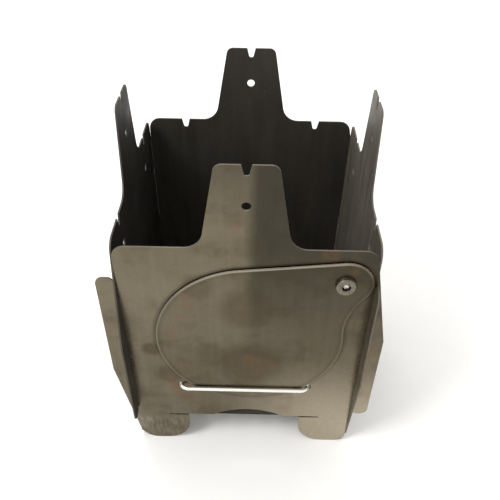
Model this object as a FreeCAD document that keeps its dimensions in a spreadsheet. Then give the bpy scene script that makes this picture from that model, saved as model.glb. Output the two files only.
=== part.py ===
"""Flat-pack rocket stove: four interlocking sheet walls, a swinging feed door and a loose floor.

Millimetres, +Z up. The origin is on the ground in the middle of the stove. The feed door is in the
front wall, which faces -Y. Every size is a cell of the Sizes spreadsheet, and every sketch, pad and
placement is bound to those cells.
"""
import FreeCAD
import Part
import Sketcher
import math
import os
import re

SIZES = {
    # walls: mid-planes are wall_plane from the centre, and sheet is their thickness
    "wall_plane": 75.0,
    "sheet": 1.0,
    "wall_height": 233.5,
    "shoulder_height": 181.2,
    "tab_top_half": 16.2,
    "tab_root_half": 25.2,
    "tab_round": 4.5,
    "tab_fillet": 11.0,
    "shoulder_round": 8.0,
    "hanging_shoulder_end": 72.3,
    # corner slots and the wings outside them
    "slot_width": 1.3,
    "slot_meeting": 95.0,
    "slot_play": 0.2,
    "wing_reach": 86.5,
    "wing_round": 5.0,
    "wing_inner_round": 4.0,
    "knee_round": 10.0,
    "hanging_wing_knee": 109.5,
    "hanging_wing_tip": 34.0,
    "standing_wing_knee": 77.5,
    "standing_wing_tip": 158.2,
    # feet
    "panel_bottom": 29.2,
    "foot_inner": 39.4,
    "foot_inner_round": 18.0,
    "foot_outer_round": 8.0,
    "standing_foot_reach": 73.5,
    "standing_foot_round": 13.0,
    # notches and holes
    "notch_half": 2.8,
    "notch_root_half": 1.3,
    "notch_depth": 6.2,
    "notch_round": 1.2,
    "notch_overshoot": 0.4,
    "shoulder_notch_offset": 47.4,
    "tab_hole_height": 209.2,
    "tab_hole_diameter": 5.2,
    "rod_hole_offset": 43.5,
    "rod_hole_height": 158.7,
    "rod_hole_diameter": 5.2,
    # front wall
    "feed_radius": 50.0,
    "arch_x": 2.6,
    "arch_half": 24.2,
    "arch_rise": 7.0,
    # feed door: a disc and a lobe about the pivot, with a concave curve between them
    "disc_x": 2.8,
    "disc_z": 109.0,
    "disc_radius": 58.0,
    "pivot_x": 57.2,
    "pivot_z": 157.7,
    "lobe_radius": 15.8,
    "neck_radius": 45.0,
    "door_play": 0.05,
    # pivot: a 4.8 mm blind rivet through three washers
    "rivet_diameter": 4.8,
    "rivet_bore": 3.2,
    "rivet_head_diameter": 12.0,
    "rivet_head_height": 1.4,
    "rivet_head_round": 1.1,
    "rivet_dish_diameter": 5.4,
    "rivet_dish_depth": 1.3,
    "rivet_dish_round": 0.4,
    "rivet_tail_diameter": 7.4,
    "rivet_tail_length": 3.4,
    "rivet_tail_round": 1.0,
    "pivot_clearance": 0.05,
    "washer_diameter": 11.2,
    "front_washer_thickness": 1.2,
    "spacer_thickness": 0.5,
    "back_washer_thickness": 0.8,
    "mandrel_diameter": 3.1,
    "mandrel_head_radius": 2.3,
    "mandrel_head_round": 1.4,
    "mandrel_recess": 1.3,
    "mandrel_point": 0.3,
    # door catch: a wire staple, clinched on the inside of the front wall
    "catch_wire": 2.6,
    "catch_half_span": 43.0,
    "catch_height": 62.5,
    "catch_gap": 0.4,
    "catch_leg_angle": 60.0,
    "catch_front_bend": 6.0,
    "catch_back_bend": 2.6,
    "catch_tip": 9.0,
    "catch_hook_gap": 0.25,
    "catch_hole_rise": 0.4,
    "catch_hole_diameter": 4.4,
    # floor plate and the slits that carry it
    "floor_half": 73.9,
    "floor_ear_inner": 39.6,
    "floor_ear_outer": 48.0,
    "floor_ear_reach": 75.5,
    "floor_thickness": 1.0,
    "floor_rise": 27.95,
    "floor_ear_round": 0.4,
    "floor_corner_round": 4.0,
    "slit_half_width": 53.2,
    "slit_bottom": 27.9,
    "air_hole_diameter": 7.0,
    "air_hole_pitch": 14.0,
    "air_holes_in_row": 9,
}

SLOT_INNER = "(wall_plane - slot_width / 2)"
SLOT_OUTER = "(wall_plane + slot_width / 2)"
SLOT_FLOOR = "(slot_meeting - slot_play / 2)"
SLOT_CEILING = "(slot_meeting + slot_play / 2)"
DOOR_PLANE = "(wall_plane + sheet + spacer_thickness + door_play)"
WASHER_SEAT = "(1.5 * sheet + spacer_thickness + 2 * door_play)"
HEAD_SEAT = "(1.5 * sheet + spacer_thickness + 2 * door_play + front_washer_thickness)"

# One side of a wall's outline, from the middle of the tab down to the middle of the bottom edge:
# distance from the centre line, height, and the radius that rounds the corner.
TAB = [
    ("tab_top_half", "wall_height", "tab_round"),
    ("tab_root_half", "shoulder_height", "tab_fillet"),
]
HANGING_WING = [
    ("hanging_shoulder_end", "shoulder_height", "shoulder_round"),
    ("wing_reach", "hanging_wing_knee", "knee_round"),
    ("wing_reach", "hanging_wing_tip", "wing_round"),
    (SLOT_OUTER, "hanging_wing_tip", "wing_inner_round"),
    (SLOT_OUTER, SLOT_CEILING, None),
    (SLOT_INNER, SLOT_CEILING, None),
    (SLOT_INNER, "0", "foot_outer_round"),
]
STANDING_WING = [
    (SLOT_INNER, "shoulder_height", "shoulder_round"),
    (SLOT_INNER, SLOT_FLOOR, None),
    (SLOT_OUTER, SLOT_FLOOR, None),
    (SLOT_OUTER, "standing_wing_tip", "wing_inner_round"),
    ("wing_reach", "standing_wing_tip", "wing_round"),
    ("wing_reach", "standing_wing_knee", "knee_round"),
    ("standing_foot_reach", "0", "standing_foot_round"),
]
FOOT = [
    ("foot_inner", "0", "foot_inner_round"),
    ("foot_inner", "panel_bottom", None),
]

doc = FreeCAD.newDocument("RocketStove")
sheet = doc.addObject("Spreadsheet::Sheet", "Sizes")
for row, (alias, amount) in enumerate(SIZES.items(), start=1):
    sheet.set(f"A{row}", alias)
    sheet.set(f"B{row}", str(amount))
    sheet.setAlias(f"B{row}", alias)
doc.recompute()


def bound(formula):
    """The formula with every size name pointing at its cell."""
    return re.sub(r"\b[a-z][a-z0-9_]*\b(?!\()", lambda name: "Sizes." + name.group(), formula)


def new_body(label):
    body = doc.addObject("PartDesign::Body", label)
    body.Label = label
    return body


def place(body, x="0", y="0", z="0"):
    for axis, formula in zip("xyz", (x, y, z)):
        body.setExpression(f"Placement.Base.{axis}", bound(formula))


def new_sketch(body, name, role):
    """A sketch on one of the body's own origin planes."""
    sketch = body.newObject("Sketcher::SketchObject", name)
    plane = next(item for item in body.Origin.OriginFeatures if item.Role == role)
    sketch.AttachmentSupport = [(plane, "")]
    sketch.MapMode = "FlatFace"
    return sketch


def pin(sketch, geometry, point, across, along):
    """Hold a point of the sketch at two formulas; "0" puts it on the sketch's axis."""
    drawn = sketch.getPoint(geometry, point)
    ways = (("DistanceX", across, -2, drawn.x), ("DistanceY", along, -1, drawn.y))
    for kind, formula, axis, start in ways:
        if formula == "0":
            sketch.addConstraint(Sketcher.Constraint("PointOnObject", geometry, point, axis))
            continue
        index = sketch.addConstraint(Sketcher.Constraint(kind, -1, 1, geometry, point, start))
        sketch.setExpression(f"Constraints[{index}]", bound(formula))


def polygon_sketch(body, name, role, corners):
    """A closed outline of straight edges, with each corner held at its two formulas."""
    sketch = new_sketch(body, name, role)
    count = len(corners)
    start = [
        FreeCAD.Vector(math.cos(-math.tau * i / count), math.sin(-math.tau * i / count), 0) * 50
        for i in range(count)
    ]
    for i in range(count):
        sketch.addGeometry(Part.LineSegment(start[i], start[(i + 1) % count]))
    for i in range(count):
        sketch.addConstraint(Sketcher.Constraint("Coincident", i, 2, (i + 1) % count, 1))
    for i, corner in enumerate(corners):
        pin(sketch, i, 1, corner[0], corner[1])
    doc.recompute()
    return sketch


def circle_sketch(body, name, role, circles):
    """Circles, each given by the formulas of its centre and its radius."""
    sketch = new_sketch(body, name, role)
    for i, (across, along, radius) in enumerate(circles):
        sketch.addGeometry(Part.Circle(FreeCAD.Vector(i, 0, 0), FreeCAD.Vector(0, 0, 1), 1.0))
        pin(sketch, i, 3, across, along)
        index = sketch.addConstraint(Sketcher.Constraint("Radius", i, 1.0))
        sketch.setExpression(f"Constraints[{index}]", bound(radius))
    doc.recompute()
    return sketch


def pad(body, sketch, thickness):
    """A plate centred on the sketch's plane."""
    feature = body.newObject("PartDesign::Pad", sketch.Name + "Pad")
    feature.Profile = sketch
    feature.SideType = "Symmetric"
    feature.setExpression("Length", bound(thickness))
    doc.recompute()
    return feature


def cut(body, sketch):
    """A pocket right through the plate, checked to have removed something."""
    before = body.Shape.Volume
    feature = body.newObject("PartDesign::Pocket", sketch.Name + "Cut")
    feature.Profile = sketch
    feature.SideType = "Symmetric"
    feature.Type = "ThroughAll"
    doc.recompute()
    if body.Shape.Volume >= before:
        raise RuntimeError(f"{feature.Name} removed nothing")
    return feature


def round_edges(body, name, radius, is_wanted):
    """A fillet of one radius on every edge that is_wanted accepts."""
    tip = body.Tip
    edges = [f"Edge{i}" for i, edge in enumerate(tip.Shape.Edges, start=1) if is_wanted(edge)]
    if not edges:
        raise RuntimeError(f"{name}: no edge to round")
    feature = body.newObject("PartDesign::Fillet", name)
    feature.Base = (tip, edges)
    feature.setExpression("Radius", bound(radius))
    doc.recompute()


def round_corners(body, sketch, corners):
    """Fillets on a plate's outline, one feature for each radius that its corners ask for."""
    places = [sketch.Placement.multVec(line.StartPoint) for line in sketch.Geometry]
    for radius in dict.fromkeys(corner[2] for corner in corners if corner[2]):
        wanted = [spot for spot, corner in zip(places, corners) if corner[2] == radius]
        round_edges(
            body,
            f"{body.Name}_{radius}",
            radius,
            lambda edge: any((edge.CenterOfMass - spot).Length < 1e-4 for spot in wanted),
        )


def mirrored(side):
    """The left-hand side of an outline, in the order that closes it."""
    return [(f"-({across})", up, radius) for across, up, radius in reversed(side)]


def notch(across, top):
    """A tapered notch with a round root, whose flanks run on above the top edge."""
    mouth_half = "(notch_half + notch_overshoot * (notch_half - notch_root_half))"
    mouth_height = f"{top} + notch_overshoot * notch_depth"
    return [
        (f"{across} - {mouth_half}", mouth_height, None),
        (f"{across} + {mouth_half}", mouth_height, None),
        (f"{across} + notch_root_half", f"{top} - notch_depth", "notch_round"),
        (f"{across} - notch_root_half", f"{top} - notch_depth", "notch_round"),
    ]


def cut_notch(body, role, name, across, top):
    corners = notch(across, top)
    sketch = polygon_sketch(body, name, role, corners)
    places = [sketch.Placement.multVec(line.StartPoint) for line in sketch.Geometry[2:]]
    cut(body, sketch)
    round_edges(
        body,
        name + "Root",
        "notch_round",
        lambda edge: any((edge.CenterOfMass - spot).Length < 1e-4 for spot in places),
    )


def make_wall(label, role, left_wing, right_wing):
    """A wall's plate with its tab, wings, feet, tab notch and tab hole."""
    body = new_body(label)
    corners = TAB + right_wing + FOOT + mirrored(TAB + left_wing + FOOT)
    outline = polygon_sketch(body, label + "_outline", role, corners)
    pad(body, outline, "sheet")
    round_corners(body, outline, corners)
    cut_notch(body, role, label + "_tab_notch", "0", "wall_height")
    hole = ("0", "tab_hole_height", "tab_hole_diameter / 2")
    cut(body, circle_sketch(body, label + "_tab_hole", role, [hole]))
    return body


def cut_shoulder_notches(body, role):
    for side, sign in (("left", "-1"), ("right", "1")):
        across = f"{sign} * shoulder_notch_offset"
        cut_notch(body, role, f"{body.Name}_{side}_notch", across, "shoulder_height")


def cut_rod_holes(body, role):
    holes = [
        (f"{sign} * rod_hole_offset", "rod_hole_height", "rod_hole_diameter / 2") for sign in ("-1", "1")
    ]
    cut(body, circle_sketch(body, body.Name + "_rod_holes", role, holes))


def cut_floor_slit(body, role):
    """The slit in both feet that carries the floor plate under the panel's edge."""
    corners = [
        ("-slit_half_width", "panel_bottom", None),
        ("slit_half_width", "panel_bottom", None),
        ("slit_half_width", "slit_bottom", None),
        ("-slit_half_width", "slit_bottom", None),
    ]
    cut(body, polygon_sketch(body, body.Name + "_floor_slit", role, corners))


def arch_sketch(body, role):
    """The air inlet: a shallow arc standing on the panel's bottom edge."""
    sketch = new_sketch(body, "air_arch", role)
    half, foot, rise = (sheet.get(name) for name in ("arch_half", "panel_bottom", "arch_rise"))
    left, right = FreeCAD.Vector(-half, foot, 0), FreeCAD.Vector(half, foot, 0)
    crown = FreeCAD.Vector(0, foot + rise, 0)
    sketch.addGeometry(Part.LineSegment(left, right))
    sketch.addGeometry(Part.Arc(right, crown, left))
    sketch.addConstraint(Sketcher.Constraint("Coincident", 0, 2, 1, 1))
    sketch.addConstraint(Sketcher.Constraint("Coincident", 0, 1, 1, 2))
    pin(sketch, 0, 1, "arch_x - arch_half", "panel_bottom")
    pin(sketch, 0, 2, "arch_x + arch_half", "panel_bottom")
    index = sketch.addConstraint(Sketcher.Constraint("Radius", 1, 40.0))
    arch_radius = "(arch_half ^ 2 + arch_rise ^ 2) / (2 * arch_rise)"
    sketch.setExpression(f"Constraints[{index}]", bound(arch_radius))
    doc.recompute()
    return sketch


def make_front_wall():
    role = "XZ_Plane"
    body = make_wall("front_wall", role, STANDING_WING, HANGING_WING)
    place(body, y="-wall_plane")
    cut_floor_slit(body, role)
    cut(body, circle_sketch(body, "feed_opening", role, [("disc_x", "disc_z", "feed_radius")]))
    cut(body, arch_sketch(body, role))
    holes = [("pivot_x", "pivot_z", "rivet_diameter / 2 + pivot_clearance")]
    catch_hole_height = "catch_height + catch_hole_rise"
    for sign in ("-1", "1"):
        holes.append((f"{sign} * catch_half_span", catch_hole_height, "catch_hole_diameter / 2"))
    cut(body, circle_sketch(body, "front_wall_holes", role, holes))
    return body


def make_rear_wall():
    role = "XZ_Plane"
    body = make_wall("rear_wall", role, STANDING_WING, HANGING_WING)
    place(body, y="wall_plane")
    cut_floor_slit(body, role)
    cut_shoulder_notches(body, role)
    return body


def make_side_wall(label, wing, plane):
    role = "YZ_Plane"
    body = make_wall(label, role, wing, wing)
    place(body, x=plane)
    cut_shoulder_notches(body, role)
    cut_rod_holes(body, role)
    return body


def make_feed_door():
    """Disc, pivot lobe and the web under their common tangent, with a concave neck below."""
    role = "XZ_Plane"
    body = new_body("feed_door")
    place(body, y="-" + DOOR_PLANE)
    slope = "atan2(pivot_z - disc_z; pivot_x - disc_x)"
    reach = "hypot(pivot_x - disc_x; pivot_z - disc_z)"
    lean = f"({slope} + acos((disc_radius - lobe_radius) / {reach}))"
    web = [
        ("disc_x", "disc_z"),
        (f"disc_x + disc_radius * cos({lean})", f"disc_z + disc_radius * sin({lean})"),
        (f"pivot_x + lobe_radius * cos({lean})", f"pivot_z + lobe_radius * sin({lean})"),
        ("pivot_x", "pivot_z"),
    ]
    pad(body, circle_sketch(body, "door_disc", role, [("disc_x", "disc_z", "disc_radius")]), "sheet")
    pad(body, circle_sketch(body, "door_lobe", role, [("pivot_x", "pivot_z", "lobe_radius")]), "sheet")
    pad(body, polygon_sketch(body, "door_web", role, web), "sheet")
    disc = FreeCAD.Vector(sheet.get("disc_x"), 0, sheet.get("disc_z"))
    pivot = FreeCAD.Vector(sheet.get("pivot_x"), 0, sheet.get("pivot_z"))
    radii = (sheet.get("disc_radius"), sheet.get("lobe_radius"))

    def is_neck(edge):
        spot = edge.CenterOfMass
        on_disc = abs((spot - disc).Length - radii[0]) < 1e-4
        on_lobe = abs((spot - pivot).Length - radii[1]) < 1e-4
        return on_disc and on_lobe

    round_edges(body, "door_neck", "neck_radius", is_neck)
    hole = ("pivot_x", "pivot_z", "rivet_diameter / 2 + pivot_clearance")
    cut(body, circle_sketch(body, "door_pivot_hole", role, [hole]))
    return body


def make_turned(label, corners):
    """A body of revolution about the pivot's axis; corners are radius, distance behind the wall."""
    body = new_body(label)
    place(body, "pivot_x", "-wall_plane", "pivot_z")
    sketch = polygon_sketch(body, label + "_profile", "XY_Plane", corners)
    turn = body.newObject("PartDesign::Revolution", label + "_turn")
    turn.Profile = sketch
    turn.ReferenceAxis = (sketch, ["V_Axis"])
    turn.Angle = 360
    doc.recompute()
    return body, sketch


def ring_at(point):
    """True for the circular edge that a profile corner sweeps."""
    def is_wanted(edge):
        curve = edge.Curve
        if not isinstance(curve, Part.Circle):
            return False
        return abs(curve.Radius - point.x) < 1e-4 and abs(curve.Center.y - point.y) < 1e-4
    return is_wanted


def make_washer(label, near, far):
    """A flat ring between two distances behind the front wall's mid-plane."""
    bore = "rivet_diameter / 2 + pivot_clearance"
    rim = "washer_diameter / 2"
    body, _ = make_turned(label, [(bore, near), (rim, near), (rim, far), (bore, far)])
    return body


def make_pivot_rivet():
    tail_seat = "(sheet / 2 + back_washer_thickness)"
    tail_end = f"({tail_seat} + rivet_tail_length)"
    corners = [
        ("rivet_bore / 2", f"-({HEAD_SEAT} + rivet_head_height - rivet_dish_depth)"),
        ("rivet_dish_diameter / 2", f"-({HEAD_SEAT} + rivet_head_height)"),
        ("rivet_head_diameter / 2", f"-({HEAD_SEAT} + rivet_head_height)"),
        ("rivet_head_diameter / 2", f"-{HEAD_SEAT}"),
        ("rivet_diameter / 2", f"-{HEAD_SEAT}"),
        ("rivet_diameter / 2", tail_seat),
        ("rivet_tail_diameter / 2", tail_seat),
        ("rivet_tail_diameter / 2", tail_end),
        ("rivet_bore / 2", tail_end),
    ]
    body, sketch = make_turned("pivot_rivet", corners)
    points = [line.StartPoint for line in sketch.Geometry]
    round_edges(body, "rivet_dish_rim", "rivet_dish_round", ring_at(points[1]))
    round_edges(body, "rivet_head_dome", "rivet_head_round", ring_at(points[2]))
    round_edges(body, "rivet_tail_front_round", "rivet_tail_round", ring_at(points[6]))
    round_edges(body, "rivet_tail_back_round", "rivet_tail_round", ring_at(points[7]))
    return body


def make_rivet_mandrel():
    """The broken stem inside the rivet and the round head that swelled the rivet's tail."""
    tail_end = "(sheet / 2 + back_washer_thickness + rivet_tail_length)"
    stem = "mandrel_diameter / 2"
    front = f"-({HEAD_SEAT} + rivet_head_height - mandrel_recess)"
    head = "mandrel_head_radius"
    body, sketch = make_turned("rivet_mandrel", [
        ("0", f"{front} - mandrel_point"),
        (stem, front),
        (stem, tail_end),
        (head, tail_end),
        (head, f"{tail_end} + {head}"),
        ("0", f"{tail_end} + {head}"),
    ])
    point = sketch.Geometry[4].StartPoint
    round_edges(body, "mandrel_head_dome", "mandrel_head_round", ring_at(point))
    return body


def make_door_catch():
    """A staple of wire: a bar in front of the door, and two slanting legs hooked behind the wall.

    Half of it is swept along its centre line, from the middle of the bar, and mirrored.
    """
    body = new_body("door_catch")
    place(body, y="-wall_plane", z="catch_height")
    bar_depth = "(1.5 * sheet + spacer_thickness + 2 * door_play + catch_gap + catch_wire / 2)"
    hook_depth = "(sheet / 2 + catch_hook_gap + catch_wire / 2)"
    path = new_sketch(body, "catch_path", "XY_Plane")
    middle, bar_end = FreeCAD.Vector(0, -4, 0), FreeCAD.Vector(37, -4, 0)
    bar_knee, leg_start = FreeCAD.Vector(40, -3, 0), FreeCAD.Vector(42, -1, 0)
    leg_end, hook_knee = FreeCAD.Vector(43, 1, 0), FreeCAD.Vector(44, 1.7, 0)
    hook_start, tip = FreeCAD.Vector(45, 2, 0), FreeCAD.Vector(52, 2, 0)
    bar, bar_bend, leg, hook_bend, hook = range(5)
    path.addGeometry(Part.LineSegment(middle, bar_end))
    path.addGeometry(Part.Arc(bar_end, bar_knee, leg_start))
    path.addGeometry(Part.LineSegment(leg_start, leg_end))
    path.addGeometry(Part.Arc(leg_end, hook_knee, hook_start))
    path.addGeometry(Part.LineSegment(hook_start, tip))
    joints = [
        (bar, 2, bar_bend, 1),
        (bar_bend, 2, leg, 1),
        (leg, 2, hook_bend, 2),
        (hook_bend, 1, hook, 1),
    ]
    for joint in joints:
        path.addConstraint(Sketcher.Constraint("Tangent", *joint))
    path.addConstraint(Sketcher.Constraint("Horizontal", bar))
    path.addConstraint(Sketcher.Constraint("Horizontal", hook))
    for bend, radius in ((bar_bend, "catch_front_bend"), (hook_bend, "catch_back_bend")):
        index = path.addConstraint(Sketcher.Constraint("Radius", bend, 2.0))
        path.setExpression(f"Constraints[{index}]", bound(radius))
    pin(path, bar, 1, "0", "-" + bar_depth)
    pin(path, hook, 2, "catch_half_span + catch_tip", hook_depth)
    index = path.addConstraint(Sketcher.Constraint("Angle", leg, math.radians(60)))
    path.setExpression(f"Constraints[{index}]", bound("catch_leg_angle") + " * 1 deg")
    crossing = path.addGeometry(Part.Point(FreeCAD.Vector(43, 0, 0)), True)
    path.addConstraint(Sketcher.Constraint("PointOnObject", crossing, 1, leg))
    pin(path, crossing, 1, "catch_half_span", "0")
    doc.recompute()
    section = ("-" + bar_depth, "0", "catch_wire / 2")
    wire = circle_sketch(body, "catch_wire_section", "YZ_Plane", [section])
    pipe = body.newObject("PartDesign::AdditivePipe", "catch_half")
    pipe.Profile = wire
    pipe.Spine = (path, [f"Edge{i}" for i in range(1, 6)])
    doc.recompute()
    mirror = body.newObject("PartDesign::Mirrored", "catch_whole")
    mirror.Originals = [pipe]
    mirror.MirrorPlane = (next(i for i in body.Origin.OriginFeatures if i.Role == "YZ_Plane"), [""])
    body.Tip = mirror
    doc.recompute()
    return body


def make_floor_plate():
    """A square of sheet with two ears at the front, two at the rear, and a grid of air holes."""
    role = "XY_Plane"
    body = new_body("floor_plate")
    place(body, z="floor_rise + floor_thickness / 2")
    front_edge = [
        ("-floor_half", "-floor_half", "floor_corner_round"),
        ("-floor_ear_outer", "-floor_half", None),
        ("-floor_ear_outer", "-floor_ear_reach", "floor_ear_round"),
        ("-floor_ear_inner", "-floor_ear_reach", "floor_ear_round"),
        ("-floor_ear_inner", "-floor_half", None),
        ("floor_ear_inner", "-floor_half", None),
        ("floor_ear_inner", "-floor_ear_reach", "floor_ear_round"),
        ("floor_ear_outer", "-floor_ear_reach", "floor_ear_round"),
        ("floor_ear_outer", "-floor_half", None),
        ("floor_half", "-floor_half", "floor_corner_round"),
    ]
    rear_edge = [(across, f"-({along})", radius) for across, along, radius in front_edge]
    corners = rear_edge + front_edge[::-1]
    outline = polygon_sketch(body, "floor_outline", role, corners)
    pad(body, outline, "floor_thickness")
    round_corners(body, outline, corners)
    row = "(air_hole_pitch * (air_holes_in_row - 1))"
    first_hole = (f"-{row} / 2", f"-{row} / 2", "air_hole_diameter / 2")
    sketch = circle_sketch(body, "air_hole", role, [first_hole])
    hole = cut(body, sketch)
    grid = body.newObject("PartDesign::LinearPattern", "air_holes")
    grid.Originals = [hole]
    grid.Direction = (sketch, ["H_Axis"])
    grid.Direction2 = (sketch, ["V_Axis"])
    for suffix in ("", "2"):
        grid.setExpression("Length" + suffix, bound(row))
        grid.setExpression("Occurrences" + suffix, bound("air_holes_in_row"))
    body.Tip = grid
    doc.recompute()
    return body


def check(bodies):
    """Stop if any object failed to rebuild or any sub-part isn't one valid solid."""
    for item in doc.Objects:
        if "Invalid" in item.State or "Error" in item.State:
            raise RuntimeError(f"{item.Name} did not rebuild: {item.State}")
    for body in bodies:
        shape = body.Shape
        if shape.isNull() or not shape.isValid() or len(shape.Solids) != 1:
            raise RuntimeError(f"{body.Label} isn't one valid solid")


WALL_FACE = "(sheet / 2)"
BODIES = [
    make_front_wall(),
    make_rear_wall(),
    make_side_wall("left_wall", HANGING_WING, "-wall_plane"),
    make_side_wall("right_wall", STANDING_WING, "wall_plane"),
    make_feed_door(),
    make_door_catch(),
    make_pivot_rivet(),
    make_rivet_mandrel(),
    make_washer("front_washer", "-" + HEAD_SEAT, "-" + WASHER_SEAT),
    make_washer("spacer_washer", f"-({WALL_FACE} + spacer_thickness)", "-" + WALL_FACE),
    make_washer("back_washer", WALL_FACE, f"({WALL_FACE} + back_washer_thickness)"),
    make_floor_plate(),
]
check(BODIES)
os.makedirs("parts", exist_ok=True)
for part in BODIES:
    part.Shape.exportStep(f"parts/{part.Label}.step")
    box = part.Shape.BoundBox
    size = f"{box.XLength:.2f} x {box.YLength:.2f} x {box.ZLength:.2f} mm"
    print(f"{part.Label}: {part.Shape.Volume:.1f} mm3, {size}")
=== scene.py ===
"""Looks of the flat-pack rocket stove: its metals, the floor, the light and the camera.

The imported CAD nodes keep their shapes. Lengths are in metres, in the CAD's frame. Colours are given
as display values from 0 to 255, except the sky's, which is linear.
"""
import bpy
import math
from mathutils import Matrix, Vector


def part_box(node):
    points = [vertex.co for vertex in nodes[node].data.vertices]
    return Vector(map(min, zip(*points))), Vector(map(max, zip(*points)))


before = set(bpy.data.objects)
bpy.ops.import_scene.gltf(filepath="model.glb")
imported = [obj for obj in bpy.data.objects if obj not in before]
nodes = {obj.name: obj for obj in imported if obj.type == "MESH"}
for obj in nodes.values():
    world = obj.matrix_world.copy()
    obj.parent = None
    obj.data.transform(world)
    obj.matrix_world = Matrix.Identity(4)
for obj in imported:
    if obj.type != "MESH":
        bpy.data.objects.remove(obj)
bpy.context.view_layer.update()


def shade(red, green, blue):
    """A display colour as the linear colour that a shader takes."""
    linear = []
    for level in (red, green, blue):
        value = level / 255
        linear.append(value / 12.92 if value <= 0.04045 else ((value + 0.055) / 1.055) ** 2.4)
    return (*linear, 1.0)


def grey(level):
    """A warm grey, as bright as a display level from 0 to 255."""
    return shade(level, level * 0.95, level * 0.88)


# Camera: where it stands, how it is turned, its lens and sensor in millimetres, and its shift.
CAMERA_PLACE = (0.0039, -0.3246, 0.3829)
CAMERA_YAW = math.radians(0.30)
CAMERA_PITCH = math.radians(41.96)
CAMERA_ROLL = math.radians(-1.04)
CAMERA_LENS = 42.47
CAMERA_SENSOR = 36.0
CAMERA_SHIFT = 0.06

# Floor, sky and lamps: how far the floor reaches each way, the sky's light, and each lamp's place,
# size and power. Both lamps are aimed at LAMP_AIM.
FLOOR_REACH = 4.0
SKY_COLOUR = (1.0, 0.99, 0.97, 1.0)
SKY_STRENGTH = 0.95
LAMPS = {
    "key_lamp": ((-0.9, -0.6, 1.3), 0.5, 12.0),
    "back_lamp": ((-0.2, 1.2, 1.3), 0.9, 9.0),
}
LAMP_AIM = Vector((0, 0, 0.08))

# Steel, what heat, hands, fire and the ground leave on it, and painted reflection, shade and highlight
# on the front wall, the door and the rivet's dish.
STEEL_DULL = shade(100, 92, 76)
STEEL_PALE = shade(112, 104, 88)
STEEL_STREAK = shade(136, 128, 112)
PAINTED_LIGHT_REFLECTION = shade(178, 167, 146)
PAINTED_DARK_REFLECTION = shade(44, 43, 37)
BROWN_TINT = shade(116, 82, 52)
CLOUDY_SMUDGE = shade(72, 61, 43)
ROUND_SMUDGE = shade(62, 50, 32)
FINGERPRINT = shade(62, 56, 46)
DOOR_TARNISH = shade(60, 52, 38)
DOOR_BORDER_SHADE = shade(66, 58, 44)
DOOR_RIM_WEAR_AND_HIGHLIGHT = shade(165, 158, 142)
DOOR_GRIME_AND_SHADOW = shade(50, 44, 34)
DISH_SHADE = shade(28, 26, 23)
ASH = shade(150, 140, 125)
DUST = shade(176, 168, 152)

# The two shades that wear mixes in the drawn wire and the turned parts.
WIRE_SHADES = (shade(236, 234, 228), shade(252, 251, 248))
WASHER_SHADES = (shade(232, 228, 218), shade(190, 184, 172))
RIVET_SHADES = (shade(124, 117, 103), shade(102, 95, 82))
MANDREL_SHADES = (shade(40, 39, 38), shade(250, 250, 252))

# Relief: the depths of the sheets' waves and grain, of the wire's draw lines and of the turning
# rings, and the rings' phase in radians for each metre from the axis.
WAVE_DEPTH = 0.0009
GRAIN_DEPTH = 0.000012
DRAW_DEPTH = 0.00002
RING_DEPTH = 0.000004
RING_PHASE = 24000.0

# Small rounds on the edges that turn by more than SHARP_ANGLE, and the radius of the dish in the
# rivet's head.
SHARP_ANGLE = math.radians(50)
SHEET_EDGE_ROUND = 0.00022
WASHER_EDGE_ROUND = 0.0001
DISH_RADIUS = 0.0027

# How far the walls' inner faces are from the middle, and how sharply the soot changes there.
INNER_FACE = -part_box("front_wall")[1].y
SOOT_STEP = 0.001

# The sheet parts: the axis across the sheet, the way its sooty face looks, how thick the soot and
# painted shade are between the walls and on the wings outside them, and the display greys of the soot,
# which carry painted shade and light (darkest on the shaded left wall, palest on the lit right wall),
# and of the cut edges, the floor plate's dark with painted shade.
SHEETS = {
    "front_wall": ("Y", 1, 0.9, 0.0, 34, 118),
    "rear_wall": ("Y", -1, 0.88, 0.1, 42, 118),
    "left_wall": ("X", 1, 0.95, 0.85, 14, 90),
    "right_wall": ("X", -1, 0.8, 0.3, 108, 118),
    "feed_door": ("Y", 1, 0.6, 0.0, 34, 205),
    # The floor plate's dark cut edges are partly soot and partly painted shade in its slots under the
    # walls.
    "floor_plate": ("Z", 1, 0.9, 0.5, 34, 30),
}

# The feed door's outline: a disc and a lobe about the pivot, joined by a straight tangent above
# and a concave arc below. The disc touches the left and bottom of the door's box, and the lobe its
# right.
DISC_RADIUS = 0.058
NECK_RADIUS = 0.045
door_low, door_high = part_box("feed_door")
rivet_low, rivet_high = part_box("pivot_rivet")
DISC = Vector((door_low[0] + DISC_RADIUS, 0.0, door_low[2] + DISC_RADIUS))
PIVOT = Vector(((rivet_low[0] + rivet_high[0]) / 2, 0.0, (rivet_low[2] + rivet_high[2]) / 2))
LOBE_RADIUS = door_high[0] - PIVOT.x

# Inward from the door's outline: how wide the full part of its bright rim of wear and painted highlight
# is, the whole rim, and the darker border of painted shade. Outward from it: how wide the grime and
# painted shadow on the wall are.
RIM_FULL = 0.0005
RIM_WIDTH = 0.0014
BORDER_SHADE_WIDTH = 0.0045
GRIME_AND_SHADOW_WIDTH = 0.0035

# Dark smudges on the front: where they are, their radius, and how dark they are. Each is full
# within SMUDGE_CORE of its radius, and its edge is frayed by noise of this size and reach.
SMUDGE_CORE = 0.55
FRAY_SIZE = 0.008
FRAY_REACH = 0.007
SMUDGES = [
    (Vector((-0.060, 0.0, 0.098)), 0.012, 0.55),
    (Vector((0.001, 0.0, 0.136)), 0.025, 0.36),
    (Vector((0.004, 0.0, 0.087)), 0.030, 0.36),
    (Vector((-0.022, 0.0, 0.095)), 0.018, 0.25),
    (Vector((-0.050, 0.0, 0.073)), 0.016, 0.42),
    (Vector((-0.028, 0.0, 0.154)), 0.016, 0.3),
    (Vector((0.000, 0.0, 0.182)), 0.015, 0.25),
]


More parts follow.
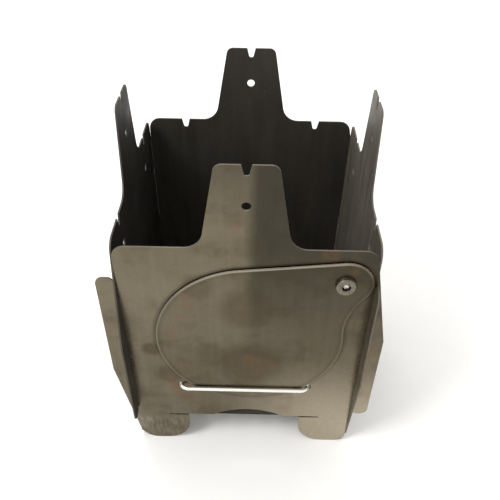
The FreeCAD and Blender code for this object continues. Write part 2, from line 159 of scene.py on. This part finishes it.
def make_camera():
    """A camera at CAMERA_PLACE that looks along +Y, yawed, pitched down and rolled."""
    data = bpy.data.cameras.new("camera")
    data.sensor_width = CAMERA_SENSOR
    data.lens = CAMERA_LENS
    data.shift_y = CAMERA_SHIFT
    camera = bpy.data.objects.new("camera", data)
    yaw = Matrix.Rotation(CAMERA_YAW, 4, "Z")
    pitch = Matrix.Rotation(math.pi / 2 - CAMERA_PITCH, 4, "X")
    roll = Matrix.Rotation(-CAMERA_ROLL, 4, "Z")
    camera.matrix_world = Matrix.Translation(CAMERA_PLACE) @ yaw @ pitch @ roll
    bpy.context.scene.collection.objects.link(camera)
    bpy.context.scene.camera = camera


class Finish:
    """A Principled material, with short calls for the nodes that feed it."""

    def __init__(self, name, metallic=1.0):
        self.material = bpy.data.materials.new(name)
        self.material.use_nodes = True
        self.tree = self.material.node_tree
        self.shader = self.tree.nodes["Principled BSDF"]
        self.shader.inputs["Metallic"].default_value = metallic
        coordinates = self.tree.nodes.new("ShaderNodeTexCoord")
        self.point = coordinates.outputs["Object"]
        self.position = self.split(self.point)
        self.normal = self.split(coordinates.outputs["Normal"])

    def feed(self, socket, source):
        """Link a socket to a node's output, or set it to a constant."""
        if isinstance(source, bpy.types.NodeSocket):
            self.tree.links.new(source, socket)
        else:
            socket.default_value = source

    def split(self, vector):
        """The X, Y and Z of a vector."""
        node = self.tree.nodes.new("ShaderNodeSeparateXYZ")
        self.feed(node.inputs[0], vector)
        return node.outputs

    def math(self, operation, first, second=0.0):
        """One arithmetic step on one or two values."""
        node = self.tree.nodes.new("ShaderNodeMath")
        node.operation = operation
        self.feed(node.inputs[0], first)
        self.feed(node.inputs[1], second)
        return node.outputs[0]

    def ramp(self, value, low, high, start=0.0, end=1.0):
        """A smooth change from start to end as value goes from low to high, whichever is larger."""
        node = self.tree.nodes.new("ShaderNodeMapRange")
        node.interpolation_type = "SMOOTHSTEP"
        if low > high:
            low, high, start, end = high, low, end, start
        for socket, source in zip(node.inputs, (value, low, high, start, end)):
            self.feed(socket, source)
        return node.outputs[0]

    def noise(self, size, detail=4.0, roughness=0.55, offset=0.0):
        """Cloudy noise, its blotches about size across along X, Y and Z. Offsets make it differ."""
        mapping = self.tree.nodes.new("ShaderNodeMapping")
        self.feed(mapping.inputs["Vector"], self.point)
        mapping.inputs["Scale"].default_value = [1 / length for length in size]
        mapping.inputs["Location"].default_value = (offset, offset * 1.7, offset * 0.6)
        node = self.tree.nodes.new("ShaderNodeTexNoise")
        self.feed(node.inputs["Vector"], mapping.outputs[0])
        node.inputs["Scale"].default_value = 1.0
        node.inputs["Detail"].default_value = detail
        node.inputs["Roughness"].default_value = roughness
        return node.outputs["Fac"]

    def vector_math(self, operation, first, second):
        """The value that a vector operation gives, such as a dot product or a distance."""
        node = self.tree.nodes.new("ShaderNodeVectorMath")
        node.operation = operation
        self.feed(node.inputs[0], first)
        self.feed(node.inputs[1], second)
        return node.outputs["Value"]

    def choose(self, mask, inside, outside):
        """One value where the mask is 1, and the other where it is 0."""
        node = self.tree.nodes.new("ShaderNodeMix")
        self.feed(node.inputs[0], mask)
        self.feed(node.inputs[2], outside)
        self.feed(node.inputs[3], inside)
        return node.outputs[0]

    def flattened(self):
        """The point seen along Y, so that a distance from it is measured in the front's plane."""
        node = self.tree.nodes.new("ShaderNodeCombineXYZ")
        self.feed(node.inputs["X"], self.position["X"])
        self.feed(node.inputs["Z"], self.position["Z"])
        return node.outputs[0]

    def mix(self, factor, first, second):
        """A colour that goes from the first to the second as the factor goes from 0 to 1."""
        node = self.tree.nodes.new("ShaderNodeMix")
        node.data_type = "RGBA"
        self.feed(node.inputs["Factor"], factor)
        self.feed(node.inputs[6], first)
        self.feed(node.inputs[7], second)
        return node.outputs[2]

    def bump(self, height, distance, under=None):
        """A normal tilted by a relief this deep, on top of the bump under it, if any."""
        node = self.tree.nodes.new("ShaderNodeBump")
        self.feed(node.inputs["Height"], height)
        node.inputs["Distance"].default_value = distance
        if under is not None:
            self.feed(node.inputs["Normal"], under)
        return node.outputs[0]

    def finish(self, colour, roughness, normal=None):
        """The material, once its shader is fed."""
        self.feed(self.shader.inputs["Base Color"], colour)
        self.feed(self.shader.inputs["Roughness"], roughness)
        if normal is not None:
            self.feed(self.shader.inputs["Normal"], normal)
        return self.material


def outside_door(look, point):
    """The distance from the feed door's outline: above zero outside it, below zero inside."""
    def beyond(place, normal):
        return look.math("SUBTRACT", look.vector_math("DOT_PRODUCT", point, normal), place.dot(normal))

    def from_circle(centre, radius):
        return look.math("SUBTRACT", look.vector_math("DISTANCE", point, centre), radius)

    # The straight tangent above: its outward normal, and its direction from the disc to the lobe.
    span = PIVOT - DISC
    ahead = span.normalized()
    above = Vector((-ahead.z, 0.0, ahead.x))
    rise = (DISC_RADIUS - LOBE_RADIUS) / span.length
    tangent_normal = ahead * rise + above * math.sqrt(1 - rise ** 2)
    tangent = Vector((tangent_normal.z, 0.0, -tangent_normal.x))

    # The arc below: its centre, where a circle touches both the disc and the lobe.
    to_disc, to_lobe = DISC_RADIUS + NECK_RADIUS, LOBE_RADIUS + NECK_RADIUS
    forward = (to_disc ** 2 - to_lobe ** 2 + span.length ** 2) / (2 * span.length)
    neck = DISC + ahead * forward - above * math.sqrt(to_disc ** 2 - forward ** 2)
    disc_side = (neck - DISC).normalized()
    lobe_side = (neck - PIVOT).normalized()
    disc_across = Vector((-disc_side.z, 0.0, disc_side.x))
    lobe_across = Vector((-lobe_side.z, 0.0, lobe_side.x))

    def within(*sides):
        deepest = -1.0
        for place, normal in sides:
            deepest = look.math("MAXIMUM", deepest, beyond(place, normal))
        return look.math("LESS_THAN", deepest, 0.0)

    # The disc and lobe give the distance, except beside the tangent and beside the arc.
    edge = look.math("MINIMUM", from_circle(DISC, DISC_RADIUS), from_circle(PIVOT, LOBE_RADIUS))
    by_tangent = within((DISC, -tangent), (PIVOT, tangent), (DISC, -above))
    from_tangent = beyond(DISC + tangent_normal * DISC_RADIUS, tangent_normal)
    edge = look.choose(by_tangent, from_tangent, edge)
    by_neck = within((DISC, -disc_across), (PIVOT, lobe_across), (DISC, above))
    from_neck = look.math("MULTIPLY", from_circle(neck, NECK_RADIUS), -1.0)
    return look.choose(by_neck, from_neck, edge)


def painted_reflection(look, colour):
    """Painted reflection: darker on the right half, the right shoulder and the tab; lighter at the
    lower right.
    """
    along, height = look.position["X"], look.position["Z"]
    # Painted reflection: the right half, the right shoulder and the top of the tab are darkened.
    right_half = look.ramp(along, -0.003, 0.007)
    upward = look.ramp(height, 0.07, 0.20, 0.0, 0.78)
    shoulder_end = look.ramp(along, 0.03, 0.07)
    shoulder_top = look.ramp(height, 0.13, 0.175, 0.0, 0.78)
    tab_top = look.ramp(height, 0.195, 0.235, 0.0, 0.42)
    half = look.math("MULTIPLY", right_half, upward)
    shoulder = look.math("MULTIPLY", shoulder_end, shoulder_top)
    painted_dark = look.math("MAXIMUM", look.math("MAXIMUM", half, shoulder), tab_top)
    colour = look.mix(painted_dark, colour, PAINTED_DARK_REFLECTION)

    # Painted reflection: lighter towards the lower right.
    rightward = look.ramp(along, -0.03, 0.055)
    downward = look.ramp(height, 0.10, 0.02, 0.0, 0.8)
    return look.mix(look.math("MULTIPLY", rightward, downward), colour, PAINTED_LIGHT_REFLECTION)


def round_smudges(look, colour):
    """The SMUDGES, each fading outward with a frayed edge."""
    point = look.flattened()
    fray = look.noise((FRAY_SIZE, FRAY_SIZE, FRAY_SIZE), detail=4.0, offset=8.8)
    for place, radius, strength in SMUDGES:
        from_centre = look.vector_math("DISTANCE", point, place)
        reach = look.math("ADD", from_centre, look.math("MULTIPLY", fray, FRAY_REACH))
        smudge = look.ramp(reach, radius, radius * SMUDGE_CORE, 0.0, strength)
        colour = look.mix(smudge, colour, ROUND_SMUDGE)
    return colour


def front_wall_marks_and_painted_light(look, colour):
    """The front wall's smudges and painted reflection, and a line of grime and painted shadow along the
    door's outline.
    """
    colour = round_smudges(look, painted_reflection(look, colour))
    # Grime and painted shadow: a dark band on the wall just outside the door's outline.
    grime_and_shadow = look.ramp(outside_door(look, look.flattened()), GRIME_AND_SHADOW_WIDTH, 0.0, 0.0, 0.6)
    return look.mix(grime_and_shadow, colour, DOOR_GRIME_AND_SHADOW)


def door_marks_and_painted_light(look, colour):
    """The door's smudges, painted reflection and darker tone, a border of painted shade, and a bright
    rim that is partly wear and partly painted highlight, strongest along its upper edge.
    """
    colour = round_smudges(look, painted_reflection(look, colour))
    colour = look.mix(0.14, colour, DOOR_TARNISH)
    edge = outside_door(look, look.flattened())
    # Painted shade: a darker band just inside the door's outline.
    border_shade = look.ramp(edge, -BORDER_SHADE_WIDTH, -RIM_WIDTH, 0.0, 0.3)
    colour = look.mix(border_shade, colour, DOOR_BORDER_SHADE)

    # Wear and painted highlight: the rim is brightest along the upper edge and fainter beside the
    # pivot.
    by_height = look.ramp(look.position["Z"], 0.14, 0.168, 0.24, 0.75)
    beside_pivot = look.ramp(look.position["X"], 0.055, 0.066, 1.0, 0.3)
    strength = look.math("MULTIPLY", by_height, beside_pivot)
    rim_wear_and_highlight = look.math("MULTIPLY", look.ramp(edge, -RIM_WIDTH, -RIM_FULL), strength)
    return look.mix(rim_wear_and_highlight, colour, DOOR_RIM_WEAR_AND_HIGHLIGHT)


MARKS_AND_PAINTED_LIGHT = {"front_wall": front_wall_marks_and_painted_light, "feed_door": door_marks_and_painted_light}


def satin_steel(look, smudges):
    """Satin steel: clouded, smudged, fingerprinted and faintly streaked."""
    clouds = look.noise((0.05, 0.05, 0.06), detail=5.0, offset=3.1)
    prints = look.noise((0.006, 0.006, 0.005), detail=3.0, roughness=0.7, offset=2.2)
    streaks = look.noise((0.004, 0.004, 0.06), detail=4.0, offset=4.4)
    colour = look.mix(look.ramp(clouds, 0.35, 0.65), STEEL_DULL, STEEL_PALE)
    colour = look.mix(look.ramp(smudges, 0.46, 0.8, 0.0, 0.5), colour, CLOUDY_SMUDGE)
    colour = look.mix(look.ramp(prints, 0.6, 0.75, 0.0, 0.2), colour, FINGERPRINT)
    return look.mix(look.ramp(streaks, 0.4, 0.75, 0.0, 0.14), colour, STEEL_STREAK)


def soot_and_shade_cover(look, along, inside, soot_and_shade_depth, wing_soot_and_shade):
    """How far soot and painted shade hide the inside of a sheet, between the walls and on the wings
    past them.
    """
    cloud = look.noise((0.03, 0.03, 0.05), detail=6.0, roughness=0.62, offset=1.3)
    patches = look.math("MULTIPLY", inside, look.ramp(cloud, 0.25, 0.6, 0.8, 1.0))
    from_middle = look.math("ABSOLUTE", along)
    wall_start, wing_start = INNER_FACE - SOOT_STEP, INNER_FACE + SOOT_STEP
    depth = look.ramp(from_middle, wall_start, wing_start, soot_and_shade_depth, wing_soot_and_shade)
    return look.math("MULTIPLY", patches, depth)


def soot_and_shade_colour(look, level):
    """Soot at a display grey that also carries painted shade and light, darker where it has run down
    and towards the top of a tab.
    """
    drips = look.noise((0.007, 0.007, 0.09), detail=5.0, roughness=0.6, offset=6.6)
    dripped = look.ramp(drips, 0.42, 0.62, 0.0, 0.5)
    on_tab = look.ramp(look.position["Z"], 0.17, 0.225, 0.0, 0.45)
    burnt = look.math("MAXIMUM", dripped, on_tab)
    return look.mix(burnt, grey(level * 1.08), grey(level * 0.5))


def ash_and_dust(look, colour, inside):
    """Specks of ash on the inside, and pale dust on the feet."""
    ash = look.noise((0.0018, 0.0018, 0.0018), detail=2.0, offset=6.1)
    specks = look.math("MULTIPLY", look.ramp(ash, 0.74, 0.78), look.math("MULTIPLY", inside, 0.5))
    colour = look.mix(specks, colour, ASH)
    dust = look.noise((0.003, 0.003, 0.012), detail=5.0, roughness=0.7, offset=5.9)
    on_foot = look.ramp(look.position["Z"], 0.030, 0.020)
    settled = look.math("MULTIPLY", on_foot, look.ramp(dust, 0.4, 0.7, 0.0, 0.3))
    return look.mix(settled, colour, DUST)


def sheet_finish(name, axis, inward, soot_and_shade_depth, wing_soot_and_shade, soot_and_shade_grey, edge_and_shade_grey):
    """Satin sheet with a brown heat tint: smudged outside, sooty and darkened with painted shade
    inside, with painted reflection and shade on the front wall and door, and its own grey where cut.
    """
    look = Finish(name + "_look")
    along = look.position["Y" if axis == "X" else "X"]
    inside = look.ramp(look.math("MULTIPLY", look.normal[axis], float(inward)), 0.4, 0.6)
    cut_edge = look.ramp(look.math("ABSOLUTE", look.normal[axis]), 0.35, 0.75, 1.0, 0.0)
    smudges = look.noise((0.022, 0.022, 0.016), detail=5.0, roughness=0.6, offset=7.7)

    colour = satin_steel(look, smudges)
    if name in MARKS_AND_PAINTED_LIGHT:
        colour = MARKS_AND_PAINTED_LIGHT[name](look, colour)
    tint = look.noise((0.022, 0.022, 0.03), detail=3.0, offset=9.3)
    colour = look.mix(look.ramp(tint, 0.58, 0.76, 0.0, 0.34), colour, BROWN_TINT)
    # Soot and painted shade darken the inner faces: darkest on the left wall, in shadow, and palest on
    # the lit right wall.
    soot_and_shade = soot_and_shade_cover(look, along, inside, soot_and_shade_depth, wing_soot_and_shade)
    colour = look.mix(soot_and_shade, colour, soot_and_shade_colour(look, soot_and_shade_grey))
    colour = ash_and_dust(look, colour, inside)
    # Cut edges take their own grey; the floor plate's is partly soot and partly painted shade.
    colour = look.mix(look.math("MULTIPLY", cut_edge, 0.85), colour, grey(edge_and_shade_grey))

    metallic = look.math("SUBTRACT", 1.0, look.math("MULTIPLY", soot_and_shade, 0.8))
    look.feed(look.shader.inputs["Metallic"], metallic)
    roughness = look.ramp(smudges, 0.3, 0.8, 0.24, 0.4)
    roughness = look.math("ADD", roughness, look.math("MULTIPLY", soot_and_shade, 0.3))
    roughness = look.math("ADD", roughness, look.math("MULTIPLY", cut_edge, 0.35))
    waves = look.bump(look.noise((0.11, 0.11, 0.13), detail=1.0, offset=5.0), WAVE_DEPTH)
    grain = look.noise((0.02, 0.02, 0.0006), detail=2.0)
    return look.finish(colour, roughness, look.bump(grain, GRAIN_DEPTH, under=waves))


def wire_finish():
    """Bright drawn wire, with fine lines along it."""
    look = Finish("bright_wire_look")
    drawn = look.noise((0.02, 0.0006, 0.0006), detail=3.0)
    colour = look.mix(look.ramp(drawn, 0.3, 0.7), *WIRE_SHADES)
    return look.finish(colour, look.ramp(drawn, 0.3, 0.7, 0.34, 0.46), look.bump(drawn, DRAW_DEPTH))


def turned_finish(name, shades, dish_radius=None):
    """Turned metal with fine rings and wear, and painted shade in a dish about the pivot's axis, if
    any.
    """
    look = Finish(name)
    from_axis = look.vector_math("DISTANCE", look.flattened(), PIVOT)
    worn = look.noise((0.0012, 0.0012, 0.0012), detail=3.0)
    colour = look.mix(look.ramp(worn, 0.35, 0.7), *shades)
    if dish_radius is not None:
        # Painted shade: the dish in the rivet's head is darkened.
        in_dish = look.ramp(from_axis, dish_radius, dish_radius * 0.85)
        colour = look.mix(in_dish, colour, DISH_SHADE)
    rings = look.math("SINE", look.math("MULTIPLY", from_axis, RING_PHASE))
    return look.finish(colour, look.ramp(worn, 0.3, 0.7, 0.26, 0.4), look.bump(rings, RING_DEPTH))


def soften_edges(piece, width):
    """A small round on each cut edge."""
    bevel = piece.modifiers.new("edge_round", "BEVEL")
    bevel.width = width
    bevel.segments = 2
    bevel.limit_method = "ANGLE"
    bevel.angle_limit = SHARP_ANGLE


def put_on(piece, material):
    """Give a piece one material."""
    piece.data.materials.clear()
    piece.data.materials.append(material)


def make_stage():
    """A pale floor, a pale sky and two soft lamps."""
    mesh = bpy.data.meshes.new("floor")
    corners = [(x * FLOOR_REACH, y * FLOOR_REACH, 0) for x, y in ((-1, -1), (1, -1), (1, 1), (-1, 1))]
    mesh.from_pydata(corners, [], [(0, 1, 2, 3)])
    floor = bpy.data.objects.new("stage_floor", mesh)
    bpy.context.scene.collection.objects.link(floor)
    look = Finish("stage_floor_look", metallic=0.0)
    paper = look.noise((0.02, 0.02, 0.02), detail=3.0)
    colour = look.mix(paper, shade(247, 247, 246), shade(251, 251, 250))
    mesh.materials.append(look.finish(colour, 0.9))

    world = bpy.data.worlds.new("sky")
    world.use_nodes = True
    sky = world.node_tree.nodes["Background"]
    sky.inputs["Color"].default_value = SKY_COLOUR
    sky.inputs["Strength"].default_value = SKY_STRENGTH
    bpy.context.scene.world = world

    for name, (place, size, power) in LAMPS.items():
        data = bpy.data.lights.new(name, "AREA")
        data.size = size
        data.energy = power
        lamp = bpy.data.objects.new(name, data)
        turn = (LAMP_AIM - Vector(place)).to_track_quat("-Z", "Y")
        lamp.matrix_world = Matrix.Translation(place) @ turn.to_matrix().to_4x4()
        bpy.context.scene.collection.objects.link(lamp)


make_camera()
bpy.context.scene.view_settings.view_transform = "Standard"

for name, settings in SHEETS.items():
    put_on(nodes[name], sheet_finish(name, *settings))
    soften_edges(nodes[name], SHEET_EDGE_ROUND)
put_on(nodes["door_catch"], wire_finish())
washer_look = turned_finish("washer_look", WASHER_SHADES)
for name in ("front_washer", "spacer_washer", "back_washer"):
    put_on(nodes[name], washer_look)
    soften_edges(nodes[name], WASHER_EDGE_ROUND)
put_on(nodes["pivot_rivet"], turned_finish("rivet_look", RIVET_SHADES, DISH_RADIUS))
put_on(nodes["rivet_mandrel"], turned_finish("mandrel_look", MANDREL_SHADES))
make_stage()
